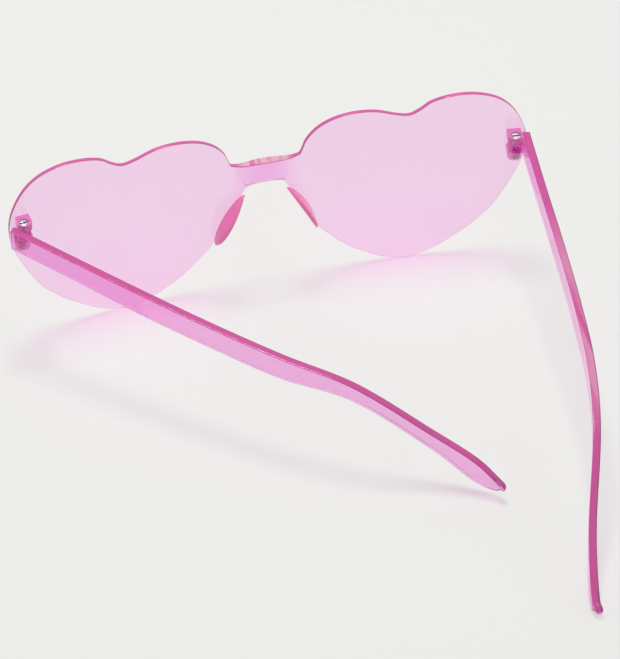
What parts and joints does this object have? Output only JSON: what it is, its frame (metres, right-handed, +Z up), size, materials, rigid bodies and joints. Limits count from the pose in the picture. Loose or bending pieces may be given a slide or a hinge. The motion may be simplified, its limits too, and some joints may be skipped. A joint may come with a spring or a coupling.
{
  "type": "heart shaped sunglasses",
  "caption": "Rimless heart shaped sunglasses: a one-piece tinted front with nose pads, hinge brackets and two temples that fold, standing on the heart tips and a temple tip",
  "frame": {"origin": "on the surface that the sunglasses stand on, under the middle of the bridge, level with where the rear face of the upright front would meet the ground", "axes": "+X to the wearer's left, +Y from the front towards the ears, +Z up"},
  "size_m": [0.1479, 0.1525, 0.0604],
  "materials": {
    "tinted_lens": "clear pale pink polycarbonate, polished",
    "pad_plastic": "clear pink plastic, polished",
    "bracket_plastic": "clear pink plastic, polished",
    "screw_metal": "bright plated steel",
    "temple_plastic": "clear pink plastic, polished"
  },
  "bodies": {
    "front": {"lens_shield": "tinted_lens", "nose_pad_left": "pad_plastic", "nose_pad_right": "pad_plastic", "hinge_bracket_left": "bracket_plastic", "hinge_bracket_right": "bracket_plastic", "hinge_screw_left": "screw_metal", "hinge_screw_right": "screw_metal"},
    "temple_left": {"temple_left": "temple_plastic"},
    "temple_right": {"temple_right": "temple_plastic"}
  },
  "joints": [
    {"name": "hinge_left", "type": "hinge", "parent": "front", "child": "temple_left", "pos_m": [0.06961, 0.01048, 0.04203], "axis": [0, 0.0634, 0.998], "range_deg": [-48, 41]},
    {"name": "hinge_right", "type": "hinge", "parent": "front", "child": "temple_right", "pos_m": [-0.06961, 0.01048, 0.04203], "axis": [0, -0.0634, -0.998], "range_deg": [-7, 30]}
  ]
}
